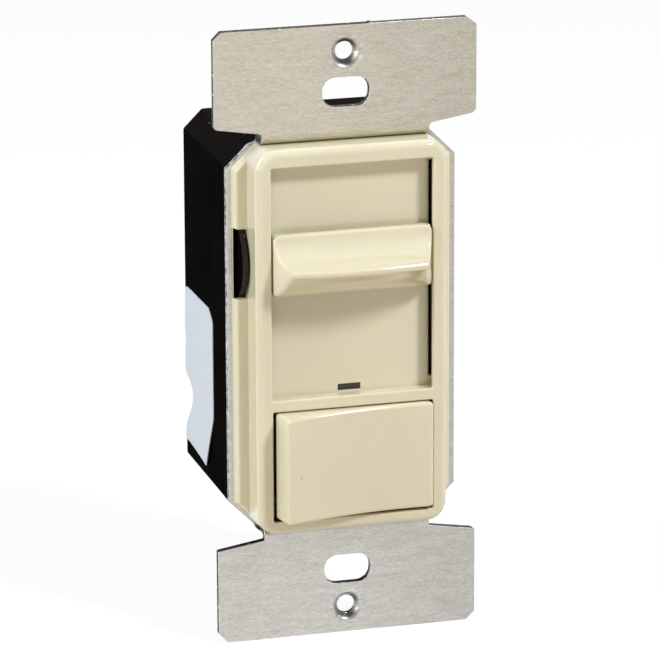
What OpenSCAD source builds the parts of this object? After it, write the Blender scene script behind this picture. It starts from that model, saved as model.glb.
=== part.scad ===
// Slide dimmer for a wall box: a slide knob, a rocker and a trim wheel on a metal mounting strap.
// X runs to the viewer's right, Y runs into the wall and Z runs up. The ears' back faces lie on Y = 0,
// and the origin is midway between the two box screws.

/* [Mounting strap] */
// Length of the strap over both ears
strap_length = 106.1; // [105:0.1:107]
// Width of an ear
ear_width = 45.3; // [45:0.1:47]
// Sheet thickness
sheet = 1.2; // [1.0:0.05:1.3]
// Width of the neck between an ear and the plate
neck_width = 29; // [28:0.5:30]
// Width of the plate behind the face
plate_width = 39.7; // [39.6:0.1:40.2]
// How far the plate's front lies behind the wall
plate_setback = 1.9; // [1.8:0.05:2.0]
// Distance between the two box screw slots
box_screw_spacing = 83.34; // [83.3:0.01:83.4]
// Length of a box screw slot
box_slot_length = 8.1; // [7.6:0.1:9.0]
// Width of a box screw slot
box_slot_width = 5.0; // [4.5:0.1:5.4]
// Distance between the two wall plate screws
wall_plate_spacing = 96.84; // [96.8:0.01:96.9]
// Tapping diameter of a wall plate hole
tapped_d = 2.9; // [2.7:0.05:3.0]

/* [Bezel] */
// Width of the raised face
face_w = 33.1; // [33.0:0.1:33.2]
// Height of the raised face
face_h = 66.6; // [66.5:0.1:66.7]
// Cut across each corner of the raised face
face_chamfer = 2.25; // [1.8:0.05:2.6]
// How far the face stands out from the wall
face_out = 5.2; // [5.1:0.05:5.4]
// Width of the flange that lies on the plate
flange_w = 38.1; // [37.8:0.1:38.2]
// How far the flange's front lies behind the wall
flange_setback = 0.5; // [0.4:0.05:0.6]
// Radius along the front edges
face_round = 1.2; // [0.8:0.1:1.4]
// Width of the recess and of the rocker opening
opening_w = 28; // [27.8:0.1:28.2]
// Height of the slider recess's top edge
recess_top = 30.3; // [30.2:0.1:30.4]
// Height of the slider recess's bottom edge
recess_bottom = -9.7; // [-9.75:0.05:-9.65]
// Depth of the recess floor below the face
recess_depth = 2.6; // [2.5:0.05:2.7]
// Height of the rocker opening's top edge
rocker_top = -11.7; // [-11.8:0.05:-11.6]
// Height of the rocker opening's bottom edge
rocker_bottom = -31.0; // [-31.1:0.05:-30.9]

/* [Controls] */
// Height of the knob's centre in the position shown
knob_z = 13.6; // [13:0.1:14]
// Height of the knob
knob_h = 10.6; // [10:0.1:10.8]
// Width of the knob at the face
knob_w = 26.8; // [26.4:0.1:27]
// How far the knob's nose stands out from the face
knob_nose = 6.0; // [5:0.1:6.5]
// Tilt of the rocker in the position shown
rocker_tilt = 7.5; // [6:0.1:7.5]
// Radius of the hollow across the rocker's front
rocker_hollow_r = 85; // [80:1:100]
// Radius of the trim wheel
wheel_r = 7.0; // [6.8:0.05:7.0]
// Thickness of the trim wheel
wheel_w = 1.75; // [1.6:0.05:1.8]
// Number of ribs round the trim wheel
wheel_ribs = 36; // [24:1:40]

/* [Housing] */
// Width of the housing
housing_w = 39.6; // [39.3:0.1:39.6]
// Height of the housing
housing_h = 64.8; // [64.6:0.1:65]
// Cut across each corner of the housing
housing_chamfer = 3.3; // [3.2:0.1:3.5]
// Depth of the housing's back behind the wall
housing_back = 31.5; // [30.6:0.1:31.5]
// Depth of the seam between the frame and the rear housing
housing_seam = 5.8; // [5.7:0.1:5.9]
// Wall thickness
wall = 1.4; // [1.3:0.05:1.5]

/* [Hidden] */
$fn = 48;

// Overshoot of a cut past the face that it opens
over = 1;
// Gap beside a part that slides or swings
gap = 0.3;
// Radial play of a pin or a peg in its hole
slip = 0.05;
// Overlap that joins two shapes of one solid
bond = 0.5;

// Depths along Y
plate_front = plate_setback;
plate_back = plate_front + sheet;
face_y = -face_out;
floor_y = face_y + recess_depth;
floor_back = floor_y + 1.2;
frame_wall = plate_back + 1.2;
board_front = 10.5;
board_back = board_front + 1.6;
back_wall = housing_back - 1.6;

// Strap: the ear's inner edge, the S-bend and the plate's corner cut
ear_z = strap_length / 2;
ear_inner = 36.6;
ear_chamfer = 1.7;
neck_z = 35.3;
bend_r = 0.3;
bend_outer = bend_r + sheet;
bend_middle = bend_r + sheet / 2;
bend_angle = 75;
bend_top = 35.66;
bend_lean = (plate_back - 2 * bend_middle * (1 - cos(bend_angle))) / sin(bend_angle);
bend_end = bend_top - 2 * bend_middle * sin(bend_angle) - bend_lean * cos(bend_angle);
plate_chamfer_at = 29.0;
tapped_boss = 1.2;
tapped_lead = 0.9;

// Flange corner cut, and the slits beside the recess floor for the knob's arms
flange_chamfer = 4.15;
slit_in = 13.9;
slit_out = 15.1;
slit_top = 29.4;
slit_bottom = -8.2;
lip = 1.0;

// Rocker: its pivot, its height and the fork that throws the switch
pivot_y = -3.4;
pivot_r = 0.8;
pivot_reach = 1.2;
rocker_z = [-30.2, -11.95];
rocker_mid = (rocker_z[0] + rocker_z[1]) / 2;
rocker_front = face_y - 2.5;
rocker_sag = 1.0;
rocker_inside = face_y - 0.1;
skirt_y = -1.5;
fork_y = 3.4;
throw_x = (fork_y - pivot_y) * sin(rocker_tilt);

// Trim wheel: its centre, its left face and the room round it
wheel_y = 5.7;
wheel_z = 12.9;
wheel_x = -18.7;
wheel_end = wheel_x + wheel_w;
wheel_play = 0.35;
wheel_side = 0.2;
wheel_window = 6.1;
wheel_groove = 0.4;
shaft_r = 1.2;
trim_pot_x = [-16.5, -12];
trim_pot_half = 4.3;

// Windows through the plate and the frame: half width, bottom and top
lever_window = [3.2, -10.6, 28.8];
fork_window = [5.0, -27, -15];

// Indicator: half width, bottom and top of its opening in the recess floor
lens_window = [1.96, -9.5, -8.4];
lamp_front = 8.5;

// Fixings: the bezel's pegs, the housing screws, the ground screw and its tab
peg_at = [17.0, 25.5];
peg_r = 1.1;
screw_at = [12.5, 29.3];
screw_r = 1.4;
screw_head_r = 2.6;
screw_head_depth = 2;
ground_at = [5.0, 9.0];
ground_r = 1.7;
ground_tab = [2, 8, -33.4, -32.5];
ground_tab_back = 13;

// Triac: left, bottom, right and top of its tab, and the rivet that holds it to the plate
triac_box = [6.0, 4.2, 16.2, 19.9];
triac_top = 13.4;
triac_front = plate_back + 0.2;
triac_back = 7.8;
tab_back = triac_front + 1.3;
lead_pitch = 2.54;
rivet_at = [11.1, 16.9];
rivet_r = 1.5;

// Slide control: the knob's back, half heights of the carriage and lever, the case and its cavity
knob_foot = face_y + 0.9;
carriage_half = 4.0;
carriage_back = plate_front - 0.5;
lever_half = 2.0;
lever_back = 8.3;
wiper_back = 9.2;
track_front = 9.4;
track_back = 9.9;
pot_z = [-6.5, 30.3];
pot_cavity = [-4.0, 28.4];

// Switch: depths of the case's front and of the slide inside it
switch_front = 4.9;
switch_slide = [6.0, 8.0];
switch_half = 6.5;

// Choke: its centre on the board, and the core's inner radius, outer radius, front and back
choke_at = [3, 15];
core = [4.6, 8.4, 13.2, 18.2];
wire = 0.9;

// Wiring pockets and the contact strips in them, given on the right-hand side
pocket_depth = 4.5;
pocket_half = 5;
pocket_front = 20.2;
left_pocket_z = -19;
right_pockets_z = [-19, 1];
strip_x = [housing_w / 2 - pocket_depth, housing_w / 2 - pocket_depth + 1.0];
strip_half = 3.5;
blade_half = 1.5;
terminal_y = 25.2;
terminal_r = 1.7;

// Extrusions along Y and along X: the outline is drawn in (X, Z) or in (Y, Z)
module along_y(y0, y1) {
    translate([0, y1, 0])
        rotate([90, 0, 0])
            linear_extrude(y1 - y0)
                children();
}

module along_x(x0, x1) {
    translate([x0, 0, 0])
        rotate([90, 0, 90])
            linear_extrude(x1 - x0)
                children();
}

// A box between two corners
module block(a, b) {
    translate(a)
        cube(b - a);
}

// A cylinder along Y or along X through a given point
module rod_y(x, z, r, y0, y1) {
    translate([x, y1, z])
        rotate([90, 0, 0])
            cylinder(r = r, h = y1 - y0);
}

module rod_x(y, z, r, x0, x1) {
    translate([x0, y, z])
        rotate([0, 90, 0])
            cylinder(r = r, h = x1 - x0);
}

// A rectangle about the origin with its four corners cut at 45 degrees
module cut_rectangle(w, h, c) {
    x = w / 2;
    z = h / 2;
    polygon([
        [x, z - c], [x - c, z], [c - x, z], [-x, z - c],
        [-x, c - z], [c - x, -z], [x - c, -z], [x, c - z]
    ]);
}

// A band from -half to half, with its two corners at the low end rounded
module round_front(half, low, high, r) {
    translate([low + r, -half])
        square([high - low - r, 2 * half]);
    translate([low, r - half])
        square([2 * r, 2 * (half - r)]);
    for (side = [-1, 1])
        translate([low + r, side * (half - r)])
            circle(r);
}

// Both signs of a position, for pieces that are placed in fours
module four_times(at) {
    for (sx = [-1, 1])
        for (sz = [-1, 1])
            translate([sx * at[0], 0, sz * at[1]])
                children();
}

// The same shape on both sides
module left_and_right() {
    for (side = [0, 1])
        mirror([side, 0, 0])
            children();
}

// Points on an arc, from one angle to another
function arc(cx, cy, r, a0, a1, steps) =
    [for (i = [0:steps]) let (a = a0 + (a1 - a0) * i / steps) [cx + r * cos(a), cy + r * sin(a)]];

// Half of the chord that the trim wheel and the room round it take at one depth
function wheel_chord(y) = sqrt(pow(wheel_r + wheel_play, 2) - pow(wheel_y - y, 2));

module box_slot_shape() {
    straight = box_slot_length - box_slot_width;
    square([straight, box_slot_width], center = true);
    for (side = [-1, 1])
        translate([side * straight / 2, 0])
            circle(d = box_slot_width);
}

// The upper ear in (X, Z): cut outer corners, eased inner corners and the start of the neck
module ear_outline() {
    x = ear_width / 2;
    n = neck_width / 2;
    ease = 0.6;
    left = [
        [-n, bend_top], [-n, neck_z], [ease - x, ear_inner - 0.1], [-x, ear_inner + ease],
        [-x, ear_z - ear_chamfer], [ear_chamfer - x, ear_z]
    ];
    right = [for (i = [len(left) - 1:-1:0]) [-left[i][0], left[i][1]]];
    polygon(concat(left, right));
}

// The S-bend that carries the ear back to the plate, as an outline in (Y, Z)
module joggle_outline() {
    steps = 6;
    plate_y = plate_back - bend_outer;
    ear_back = arc(bend_r, bend_top, bend_r, 180, 180 + bend_angle, steps);
    plate_rear = arc(plate_y, bend_end, bend_outer, bend_angle, 0, steps);
    plate_face = arc(plate_y, bend_end, bend_r, 0, bend_angle, steps);
    ear_front = arc(bend_r, bend_top, bend_outer, 180 + bend_angle, 180, steps);
    polygon(concat(ear_back, plate_rear, plate_face, ear_front));
}

module ear() {
    hole_z = wall_plate_spacing / 2;
    hole_r = tapped_d / 2;
    difference() {
        union() {
            along_y(-sheet, 0)
                ear_outline();
            rod_y(0, hole_z, hole_r + 0.8, -bond, tapped_boss);
        }
        along_y(-sheet - over, over)
            translate([0, box_screw_spacing / 2])
                box_slot_shape();
        rod_y(0, hole_z, hole_r, -sheet - over, tapped_boss + over);
        translate([0, 0, hole_z])
            rotate([90, 0, 0])
                translate([0, 0, sheet - tapped_lead + 0.1])
                    cylinder(r1 = hole_r, r2 = hole_r + tapped_lead, h = tapped_lead);
    }
    along_x(-neck_width / 2, neck_width / 2)
        joggle_outline();
}

module plate_outline() {
    x = plate_width / 2;
    c = x + plate_chamfer_at - bend_end;
    polygon([
        [x, plate_chamfer_at], [c, bend_end], [-c, bend_end], [-x, plate_chamfer_at],
        [-x, -plate_chamfer_at], [-c, -bend_end], [c, -bend_end], [x, -plate_chamfer_at]
    ]);
}

// The lever and fork windows, as outlines in (X, Z)
module control_windows() {
    for (w = [lever_window, fork_window])
        translate([-w[0], w[1]])
            square([2 * w[0], w[2] - w[1]]);
}

// Room for the trim wheel in a flat wall between two depths
module wheel_slot(y0, y1, widest) {
    half = wheel_chord(widest);
    block([wheel_x - wheel_side, y0, wheel_z - half], [wheel_end + wheel_side, y1, wheel_z + half]);
}

module mounting_strap() {
    before = plate_front - over;
    behind = plate_back + over;
    color("silver")
        difference() {
            union() {
                ear();
                mirror([0, 0, 1])
                    ear();
                along_y(plate_front, plate_back)
                    plate_outline();
                block([ground_tab[0], plate_front, ground_tab[2]],
                    [ground_tab[1], ground_tab_back, ground_tab[3]]);
            }
            along_y(before, behind)
                control_windows();
            wheel_slot(before, behind, plate_back);
            four_times(peg_at)
                rod_y(0, 0, peg_r + slip, before, behind);
            four_times(screw_at)
                rod_y(0, 0, screw_r + slip, before, behind);
            rod_y(rivet_at[0], rivet_at[1], rivet_r + slip, before, behind);
            translate([ground_at[0], ground_at[1], ground_tab[2] - over])
                cylinder(r = ground_r + slip, h = 3);
        }
}

// The raised face: its outline, with the front edges rounded
module raised_face() {
    behind = plate_front + over;
    intersection() {
        along_y(face_y, plate_front)
            cut_rectangle(face_w, face_h, face_chamfer);
        along_x(-face_w, face_w)
            round_front(face_h / 2, face_y, behind, face_round);
        translate([0, 0, -face_h])
            linear_extrude(2 * face_h)
                rotate(90)
                    mirror([0, 1])
                        round_front(face_w / 2, face_y, behind, face_round);
    }
}

module bezel_body() {
    along_y(flange_setback, plate_front)
        cut_rectangle(flange_w, face_h, flange_chamfer);
    raised_face();
    four_times(peg_at)
        rod_y(0, 0, peg_r, plate_front - bond, plate_back);
}

// The slider recess, the slits at its sides and the room for the carriage behind its floor
module recess_space() {
    half = opening_w / 2;
    block([-half, face_y - over, recess_bottom], [half, floor_y, recess_top]);
    left_and_right()
        block([slit_in, face_y + lip, slit_bottom], [slit_out, floor_back + over, slit_top]);
    block([-slit_out, floor_back, slit_bottom - 0.6], [slit_out, plate_front + over, slit_top + 2.2]);
    block([-lens_window[0], floor_y - over, lens_window[1]],
        [lens_window[0], plate_front + over, lens_window[2]]);
}

// The rocker opening and the two pivot holes above and below it
module rocker_space() {
    half = opening_w / 2;
    bore = pivot_reach + 0.1;
    block([-half, face_y - over, rocker_bottom], [half, plate_front + over, rocker_top]);
    translate([0, pivot_y, rocker_bottom - bore])
        cylinder(r = pivot_r + slip, h = rocker_top - rocker_bottom + 2 * bore);
}

// The window for the trim wheel, its low outer sill and a thumb hollow in the raised face's side
module wheel_window_space() {
    z0 = wheel_z - wheel_window;
    z1 = wheel_z + wheel_window;
    side = -face_w / 2;
    block([wheel_x - wheel_side, flange_setback - over, z0], [side, plate_front + over, z1]);
    block([-flange_w / 2 - over, flange_setback - over, z0], [wheel_x, plate_front - 0.4, z1]);
    rod_x(wheel_y, wheel_z, wheel_r + 0.6, side - over, side + 0.35);
}

module front_bezel() {
    color("wheat")
        difference() {
            bezel_body();
            recess_space();
            rocker_space();
            wheel_window_space();
        }
}

// Side view of the knob in (Y, Z): a base, a finger scoop above the nose and a hollow below it
module knob_profile() {
    z0 = knob_z - knob_h / 2;
    z1 = knob_z + knob_h / 2;
    ease = 0.3;
    base = face_y - 0.2;
    nose = face_y - knob_nose;
    scoop_r = 5.04;
    hollow_r = 6.93;
    difference() {
        polygon([
            [knob_foot, z0], [knob_foot, z1], [base + ease, z1], [base, z1 - ease], [base, knob_z + 4],
            [nose, knob_z + 0.1], [nose, knob_z - 0.9], [base, z0 + ease], [base + ease, z0]
        ]);
        translate([nose + 0.7, knob_z + 5.15])
            circle(scoop_r);
        translate([nose - 1.19, knob_z - 7.81])
            circle(hollow_r);
    }
}

// Plan of the knob in (X, Y): ends that draw in towards a bowed nose
module knob_plan() {
    end = knob_w / 2;
    tip = 11.56;
    tip_y = face_y - 4.9;
    nose = face_y - knob_nose;
    bow_r = 61;
    intersection() {
        polygon([
            [-end, knob_foot], [-end, face_y], [-tip, tip_y], [1 - tip, nose],
            [tip - 1, nose], [tip, tip_y], [end, face_y], [end, knob_foot]
        ]);
        translate([0, nose + bow_r])
            circle(bow_r, $fn = 180);
    }
}

// A leg at each end of the knob, and the arm that reaches from it through the slit
module knob_leg() {
    leg_in = knob_w / 2 - 1.7;
    leg_half = knob_h / 2 - 0.1;
    arm_front = face_y + lip + gap;
    arm_out = slit_out - 0.25;
    arm_in = slit_in + 0.15;
    block([leg_in, knob_foot - bond, knob_z - leg_half], [knob_w / 2, floor_y - gap, knob_z + leg_half]);
    block([leg_in, arm_front, knob_z - carriage_half], [arm_out, floor_y - gap, knob_z + carriage_half]);
    block([arm_in, arm_front, knob_z - carriage_half], [arm_out, carriage_back, knob_z + carriage_half]);
}

module slider_knob() {
    color("wheat") {
        intersection() {
            along_x(-knob_w / 2, knob_w / 2)
                knob_profile();
            translate([0, 0, knob_z - knob_h])
                linear_extrude(2 * knob_h)
                    knob_plan();
        }
        left_and_right()
            knob_leg();
    }
}

module slider_carriage() {
    reach = slit_in + 0.15;
    color("dimgray")
        block([-reach, floor_back + gap, knob_z - carriage_half],
            [reach, carriage_back, knob_z + carriage_half]);
}

module pot_lever() {
    half = 1.2;
    color("black")
        block([-half, carriage_back, knob_z - lever_half], [half, lever_back, knob_z + lever_half]);
}

module pot_wiper() {
    half = 2.8;
    color("goldenrod")
        block([-half, lever_back, knob_z - lever_half], [half, wiper_back, knob_z + lever_half]);
}

module slide_pot_case() {
    outside = 4.5;
    inside = 3.5;
    mouth = 1.6;
    color("gray")
        difference() {
            block([-outside, frame_wall, pot_z[0]], [outside, board_front, pot_z[1]]);
            block([-inside, frame_wall + 1, pot_cavity[0]], [inside, track_back, pot_cavity[1]]);
            block([-mouth, frame_wall - over, pot_cavity[0] + 1], [mouth, frame_wall + 2, pot_cavity[1] - 1]);
        }
}

module slide_pot_track() {
    half = 3.4;
    color("saddlebrown")
        block([-half, track_front, pot_cavity[0] + 0.1], [half, track_back, pot_cavity[1] - 0.1]);
}

// Plan of the rocker in (X, Y), level: skirts below the pivot, drawn-in sides and a hollow front
module rocker_plan() {
    skirt = 13.2;
    widest = 13.7;
    edge = 13.1;
    inside = 12;
    difference() {
        polygon([
            [-skirt, skirt_y], [-widest, pivot_y], [-edge, rocker_front],
            [edge, rocker_front], [widest, pivot_y], [skirt, skirt_y]
        ]);
        translate([0, rocker_front + rocker_sag - rocker_hollow_r])
            circle(rocker_hollow_r, $fn = 240);
        translate([-inside, rocker_inside])
            square([2 * inside, 5]);
    }
}

// The fork behind the rocker, open towards the switch
module rocker_fork() {
    half = 2.4;
    outside = 2.5;
    inside = 1.15;
    block([-outside, rocker_inside - gap, rocker_mid - half], [outside, 1.6, rocker_mid + half]);
    left_and_right()
        block([inside, 1.6 - bond, rocker_mid - half], [outside, fork_y + 1, rocker_mid + half]);
}

module rocker() {
    cap = 1.6;
    cap_half = 12.5;
    pin_root = 1;
    color("wheat")
        translate([0, pivot_y, 0])
            rotate([0, 0, rocker_tilt])
                translate([0, -pivot_y, 0]) {
                    translate([0, 0, rocker_z[0]])
                        linear_extrude(rocker_z[1] - rocker_z[0])
                            rocker_plan();
                    for (z = [rocker_z[0], rocker_z[1] - cap])
                        block([-cap_half, rocker_inside - gap, z], [cap_half, skirt_y, z + cap]);
                    rocker_fork();
                    translate([0, pivot_y, rocker_bottom - pivot_reach])
                        cylinder(r = pivot_r, h = rocker_z[0] - rocker_bottom + pivot_reach + pin_root);
                    translate([0, pivot_y, rocker_z[1] - pin_root])
                        cylinder(r = pivot_r, h = rocker_top - rocker_z[1] + pivot_reach + pin_root);
                }
}

module switch_case() {
    wide = 7.5;
    travel = 4.4;
    slide_half = 3.2;
    mouth = [2.7, 2.4];
    color("darkslategray")
        difference() {
            block([-wide, switch_front, rocker_mid - switch_half],
                [wide, board_front, rocker_mid + switch_half]);
            block([-travel, switch_slide[0] - 0.2, rocker_mid - slide_half],
                [travel, switch_slide[1] + 0.2, rocker_mid + slide_half]);
            block([-mouth[0], switch_front - over, rocker_mid - mouth[1]],
                [mouth[0], switch_slide[0], rocker_mid + mouth[1]]);
        }
}

module switch_actuator() {
    slide_half = 3;
    stem_half = 0.7;
    stem_z = 2.1;
    color("ivory")
        translate([-throw_x, 0, rocker_mid]) {
            block([-slide_half, switch_slide[0], -slide_half], [slide_half, switch_slide[1], slide_half]);
            block([-stem_half, fork_y, -stem_z], [stem_half, switch_slide[0] + bond, stem_z]);
            translate([0, fork_y, -stem_z])
                cylinder(r = 1.0, h = 2 * stem_z);
        }
}

// The trim wheel's rim in (Y, Z): flat-topped ribs with a groove after each
module ribbed_rim() {
    step = 360 / wheel_ribs;
    crest = wheel_r;
    groove = wheel_r - wheel_groove;
    polygon([
        for (i = [0:wheel_ribs - 1])
            for (corner = [[0, crest], [0.3, crest], [0.5, groove], [0.8, groove]])
                let (a = (i + corner[0]) * step)
                [corner[1] * cos(a), corner[1] * sin(a)]
    ]);
}

module trim_wheel() {
    color("black")
        difference() {
            translate([0, wheel_y, wheel_z])
                along_x(wheel_x, wheel_end)
                    ribbed_rim();
            rod_x(wheel_y, wheel_z, shaft_r, wheel_x - over, wheel_end + over);
        }
}

module trim_shaft() {
    color("silver")
        rod_x(wheel_y, wheel_z, shaft_r, wheel_x, trim_pot_x[1] - 0.8);
}

module trim_pot() {
    color("royalblue")
        difference() {
            block([trim_pot_x[0], plate_back + 0.4, wheel_z - trim_pot_half],
                [trim_pot_x[1], board_front, wheel_z + trim_pot_half]);
            rod_x(wheel_y, wheel_z, shaft_r + slip, trim_pot_x[0] - over, trim_pot_x[1] - 0.7);
        }
}

module indicator_lens() {
    half = lens_window[0] - slip;
    color("saddlebrown")
        block([-half, floor_y + 0.15, lens_window[1] + slip],
            [half, lamp_front - 0.1, lens_window[2] - slip]);
}

module indicator_lamp() {
    half = 1.5;
    color("orange")
        block([-half, lamp_front, lens_window[1] - 0.45], [half, board_front, lens_window[2] + 0.45]);
}

module housing_frame() {
    before = plate_back - over;
    room = 0.6;
    color([0.1, 0.1, 0.1])
        difference() {
            along_y(plate_back, housing_seam)
                cut_rectangle(housing_w, housing_h, housing_chamfer);
            along_y(frame_wall, housing_seam + over)
                cut_rectangle(housing_w - 2 * wall, housing_h - 2 * wall, housing_chamfer - room);
            along_y(before, housing_seam)
                control_windows();
            block([triac_box[0] - room, before, triac_box[1] - 1 - room],
                [triac_box[2] + room, housing_seam, triac_box[3] + room]);
            wheel_slot(before, housing_seam + over, housing_seam);
            block([trim_pot_x[0] - gap, before, wheel_z - trim_pot_half - gap],
                [trim_pot_x[1] + gap, housing_seam, wheel_z + trim_pot_half + gap]);
            four_times(screw_at)
                rod_y(0, 0, screw_r + 0.2, before, housing_seam);
        }
}

// Walls round a wiring pocket, on the right-hand side
module pocket_walls(z) {
    block([strip_x[0] - wall, pocket_front - wall, z - pocket_half - wall],
        [housing_w / 2, housing_back, z + pocket_half + wall]);
}

// The pocket, the slot for the strip's blade and the hole behind the terminal screw
module pocket_space(z) {
    blade = blade_half + slip;
    block([strip_x[0], pocket_front, z - pocket_half],
        [housing_w / 2 + over, housing_back + over, z + pocket_half]);
    block([strip_x[0] - slip, pocket_front - wall - over, z - blade],
        [strip_x[1] + slip, pocket_front + over, z + blade]);
    rod_x(terminal_y, z, terminal_r + 0.25, strip_x[0] - wall - over, strip_x[0] + over);
}

// The housing's shell with its screw posts, board posts, pocket walls and ground screw block
module housing_shell() {
    difference() {
        along_y(housing_seam, housing_back)
            cut_rectangle(housing_w, housing_h, housing_chamfer);
        along_y(housing_seam - over, back_wall)
            cut_rectangle(housing_w - 2 * wall, housing_h - 2 * wall, housing_chamfer - 0.6);
    }
    four_times(screw_at)
        rod_y(0, 0, screw_r + 1.5, housing_seam, back_wall + bond);
    four_times([14.6, 23.5])
        rod_y(0, 0, 1.5, board_back, back_wall + bond);
    for (z = right_pockets_z)
        pocket_walls(z);
    mirror([1, 0, 0])
        pocket_walls(left_pocket_z);
    block([ground_tab[0] - bond, housing_seam, bond - housing_h / 2], [ground_tab[1] + bond, 12.4, -28]);
}

module rear_housing() {
    color([0.1, 0.1, 0.1])
        difference() {
            housing_shell();
            for (z = right_pockets_z)
                pocket_space(z);
            mirror([1, 0, 0])
                pocket_space(left_pocket_z);
            four_times(screw_at) {
                rod_y(0, 0, screw_r + 0.2, housing_seam - over, housing_back + over);
                rod_y(0, 0, screw_head_r + 0.15, housing_back - screw_head_depth, housing_back + over);
            }
            rod_x(wheel_y, wheel_z, wheel_r + wheel_play, wheel_x - wheel_side, wheel_end + wheel_side);
            translate([ground_at[0], ground_at[1], -housing_h / 2 - over])
                cylinder(r = ground_r + gap, h = 4.6);
        }
}

module housing_screws() {
    head = housing_back - screw_head_depth;
    color("silver")
        four_times(screw_at) {
            rod_y(0, 0, screw_r, plate_front, head + bond);
            rod_y(0, 0, screw_head_r, head, head + 1.6);
        }
}

module circuit_board() {
    half = [16.4, 25.5];
    tongue = [8.5, 30.5];
    color("darkgreen") {
        block([-half[0], board_front, -half[1]], [half[0], board_back, half[1]]);
        block([-tongue[0], board_front, half[1] - bond], [tongue[0], board_back, tongue[1]]);
    }
}

module triac() {
    lead_half = 0.4;
    color("dimgray")
        difference() {
            union() {
                block([triac_box[0], triac_front, triac_box[1]], [triac_box[2], tab_back, triac_box[3]]);
                block([triac_box[0], tab_back - bond, triac_box[1]], [triac_box[2], triac_back, triac_top]);
                for (i = [-1:1])
                    translate([rivet_at[0] + i * lead_pitch, 0, triac_box[1]])
                        block([-lead_half, tab_back + 1, -2 * lead_half], [lead_half, board_front, bond]);
            }
            rod_y(rivet_at[0], rivet_at[1], rivet_r + gap, triac_front - over, tab_back + over);
        }
}

module thermal_pad() {
    color("lightgray")
        difference() {
            block([triac_box[0], plate_back, triac_box[1]], [triac_box[2], triac_front, triac_box[3]]);
            rod_y(rivet_at[0], rivet_at[1], rivet_r + gap, plate_back - over, triac_front + over);
        }
}

module triac_rivet() {
    color("silver") {
        rod_y(rivet_at[0], rivet_at[1], rivet_r, plate_front, tab_back + bond);
        rod_y(rivet_at[0], rivet_at[1], rivet_r + 1.1, tab_back, tab_back + 0.8);
    }
}

// A ring about an axis along Y, standing on the back of the board
module choke_ring(r0, r1, y0, y1) {
    difference() {
        rod_y(choke_at[0], choke_at[1], r1, y0, y1);
        rod_y(choke_at[0], choke_at[1], r0, y0 - over, y1 + over);
    }
}

module choke_core() {
    color("gray")
        choke_ring(core[0], core[1], core[2], core[3]);
}

// The winding wraps the core all round, apart from a gap between its two ends
module choke_winding() {
    open = 0.1;
    color("chocolate")
        difference() {
            choke_ring(core[0] - wire, core[1] + wire, board_back, core[3] + wire);
            choke_ring(core[0] - open, core[1] + open, core[2] - open, core[3] + open);
            block([choke_at[0] - 1, board_back - over, choke_at[1]],
                [choke_at[0] + 1, core[3] + wire + over, choke_at[1] + core[1] + 2]);
        }
}

module filter_capacitor() {
    color("firebrick")
        block([-15.5, board_back, 3], [-7.5, 25, 21]);
}

module timing_capacitor() {
    color("goldenrod")
        block([-10, board_back, -9], [-2, 21, -1]);
}

module varistor() {
    color("steelblue")
        rod_y(7, -16, 5, board_back, board_back + 3.9);
}

module diac() {
    r = 1;
    color("tomato")
        rod_x(board_back + r, -5, r, 2, 6);
}

module resistors() {
    r = 1.3;
    color("tan")
        for (z = [-22, -17.5, -13])
            rod_x(board_back + r, z, r, -8, -1);
}

// A contact strip: a wide end in its pocket and a narrow blade to the board
module terminal_strip(z) {
    difference() {
        union() {
            block([strip_x[0], pocket_front + 0.2, z - strip_half], [strip_x[1], 29.6, z + strip_half]);
            block([strip_x[0], board_back, z - blade_half],
                [strip_x[1], pocket_front + over, z + blade_half]);
        }
        rod_x(terminal_y, z, terminal_r + slip, strip_x[0] - over, strip_x[1] + over);
    }
}

module traveller_terminal() {
    color("goldenrod")
        mirror([1, 0, 0])
            terminal_strip(left_pocket_z);
}

module line_terminal() {
    color("goldenrod")
        terminal_strip(right_pockets_z[1]);
}

module load_terminal() {
    color("goldenrod")
        terminal_strip(right_pockets_z[0]);
}

// A slotted screw on a strip, with its head outwards
module terminal_screw(z) {
    head = strip_x[1] + 2.2;
    slot_half = 0.5;
    difference() {
        union() {
            rod_x(terminal_y, z, terminal_r, strip_x[0] - 3.8, strip_x[1] + bond);
            rod_x(terminal_y, z, 2 * terminal_r, strip_x[1], head);
        }
        block([head - 1, terminal_y - slot_half, z - 4], [head + over, terminal_y + slot_half, z + 4]);
    }
}

module terminal_screws() {
    color("goldenrod") {
        for (z = right_pockets_z)
            terminal_screw(z);
        mirror([1, 0, 0])
            terminal_screw(left_pocket_z);
    }
}

module ground_screw() {
    head = 2.4;
    color("green")
        translate([ground_at[0], ground_at[1], ground_tab[2]]) {
            translate([0, 0, -head])
                cylinder(r = 3.5, h = head, $fn = 6);
            translate([0, 0, -bond])
                cylinder(r = ground_r, h = 4 + bond);
        }
}

// The sticker on the left side, as an outline in (Y, Z) with two round corners
module terminal_label() {
    front = 12;
    top = 1.6;
    top_r = 2;
    foot = -25.9;
    foot_r = 1.5;
    thick = 0.15;
    color("white")
        along_x(-housing_w / 2 - thick, -housing_w / 2)
            polygon(concat(
                [[housing_back, foot - 0.3], [housing_back, top]],
                arc(front + top_r, top - top_r, top_r, 90, 180, 6),
                [[front, -18]],
                arc(front + 1.4 + foot_r, foot + foot_r, foot_r, 180, 270, 6)
            ));
}

mounting_strap();
front_bezel();
slider_knob();
slider_carriage();
pot_lever();
pot_wiper();
slide_pot_case();
slide_pot_track();
rocker();
switch_case();
switch_actuator();
trim_wheel();
trim_shaft();
trim_pot();
indicator_lens();
indicator_lamp();
housing_frame();
rear_housing();
housing_screws();
circuit_board();
triac();
thermal_pad();
triac_rivet();
choke_core();
choke_winding();
filter_capacitor();
timing_capacitor();
varistor();
diac();
resistors();
traveller_terminal();
line_terminal();
load_terminal();
terminal_screws();
ground_screw();
terminal_label();
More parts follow.
